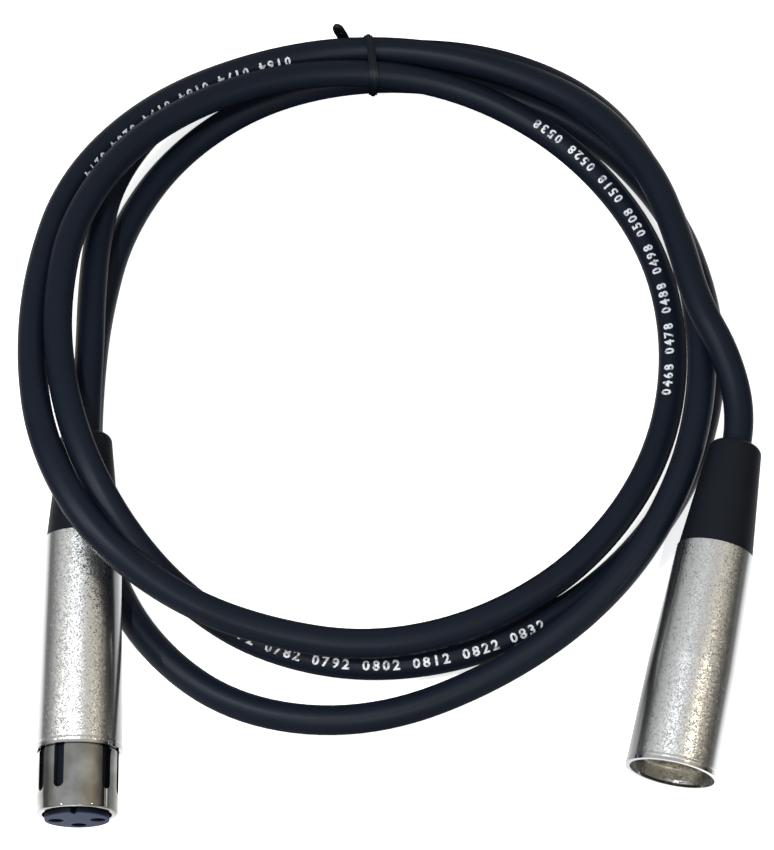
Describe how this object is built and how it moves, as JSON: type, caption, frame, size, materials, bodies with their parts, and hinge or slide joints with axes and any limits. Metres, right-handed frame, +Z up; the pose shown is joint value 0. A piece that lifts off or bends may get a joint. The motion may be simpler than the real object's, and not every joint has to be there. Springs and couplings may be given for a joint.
{
  "type": "xlr cable coil",
  "caption": "Balanced microphone cable coiled and held by a twist tie, with a female XLR connector on one end and a male one on the other.",
  "frame": {"origin": "on the surface the cable lies on, under the middle of the box round the two connectors", "axes": "+X from the female connector to the male one, +Y from the connectors' mouths towards the twist tie, +Z up"},
  "size_m": [0.153, 0.1867, 0.0303],
  "materials": {
    "blasted_nickel": "blasted, bright nickel",
    "polished_nickel": "polished",
    "insert_plastic": "satin",
    "contact_metal": "polished silver plate",
    "ring_steel": "plain",
    "clamp_plastic": "plain",
    "boot_rubber": "satin",
    "jacket": "matt with a soft sheen",
    "core_shield": "plain",
    "core_red": "plain",
    "core_white": "plain",
    "tie_plastic": "gloss"
  },
  "bodies": {
    "root": {"female_shell": "blasted_nickel", "male_shell": "blasted_nickel", "female_nose": "polished_nickel", "female_insert": "insert_plastic", "male_insert": "insert_plastic", "female_socket_1": "contact_metal", "female_socket_2": "contact_metal", "female_socket_3": "contact_metal", "male_pin_1": "contact_metal", "male_pin_2": "contact_metal", "male_pin_3": "contact_metal", "female_ring": "ring_steel", "male_ring": "ring_steel", "female_clamp": "clamp_plastic", "male_clamp": "clamp_plastic", "female_boot": "boot_rubber", "male_boot": "boot_rubber", "female_cable_tail": "jacket", "male_cable_tail": "jacket", "cable_coil": "jacket", "female_core_1": "core_shield", "male_core_1": "core_shield", "female_core_2": "core_red", "male_core_2": "core_red", "female_core_3": "core_white", "male_core_3": "core_white", "twist_tie": "tie_plastic"}
  },
  "joints": []
}
